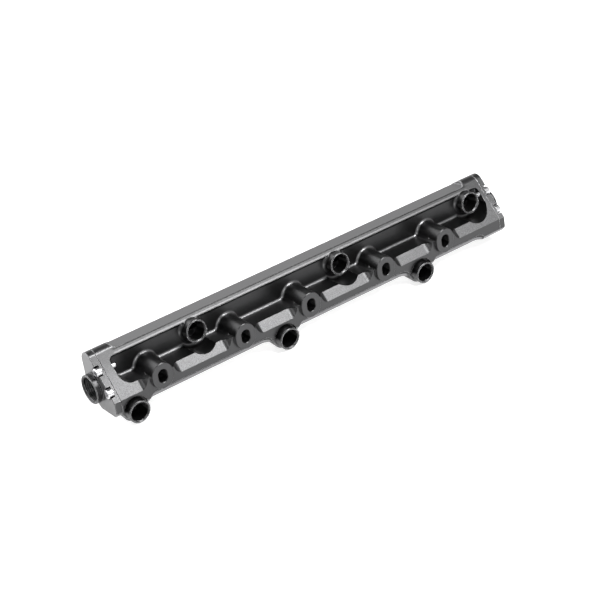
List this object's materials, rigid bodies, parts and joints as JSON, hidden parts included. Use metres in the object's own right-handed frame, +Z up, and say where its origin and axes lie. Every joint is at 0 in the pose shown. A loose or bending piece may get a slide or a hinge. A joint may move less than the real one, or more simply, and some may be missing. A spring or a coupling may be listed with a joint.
{
  "type": "fuel rail",
  "caption": "Machined fuel rail with two staggered rows of injector sockets, slotted mounting bosses in a milled pocket, and a threaded port in each screwed end cap.",
  "frame": {"origin": "mid-length of the rail, in the plane of the mounting boss faces, at the height of the slots' centres", "axes": "+X along the rail, +Y from the boss faces back into the rail, +Z up"},
  "size_m": [0.373, 0.0412, 0.0515],
  "materials": {
    "body": "black anodised, satin",
    "cap": "black anodised, satin",
    "screw": "bright",
    "seal": "matt"
  },
  "bodies": {
    "root": {"rail_body": "body", "left_end_cap": "cap", "right_end_cap": "cap", "left_seal": "seal", "right_seal": "seal", "left_upper_screw": "screw", "left_lower_screw": "screw", "right_upper_screw": "screw", "right_lower_screw": "screw"}
  },
  "joints": []
}
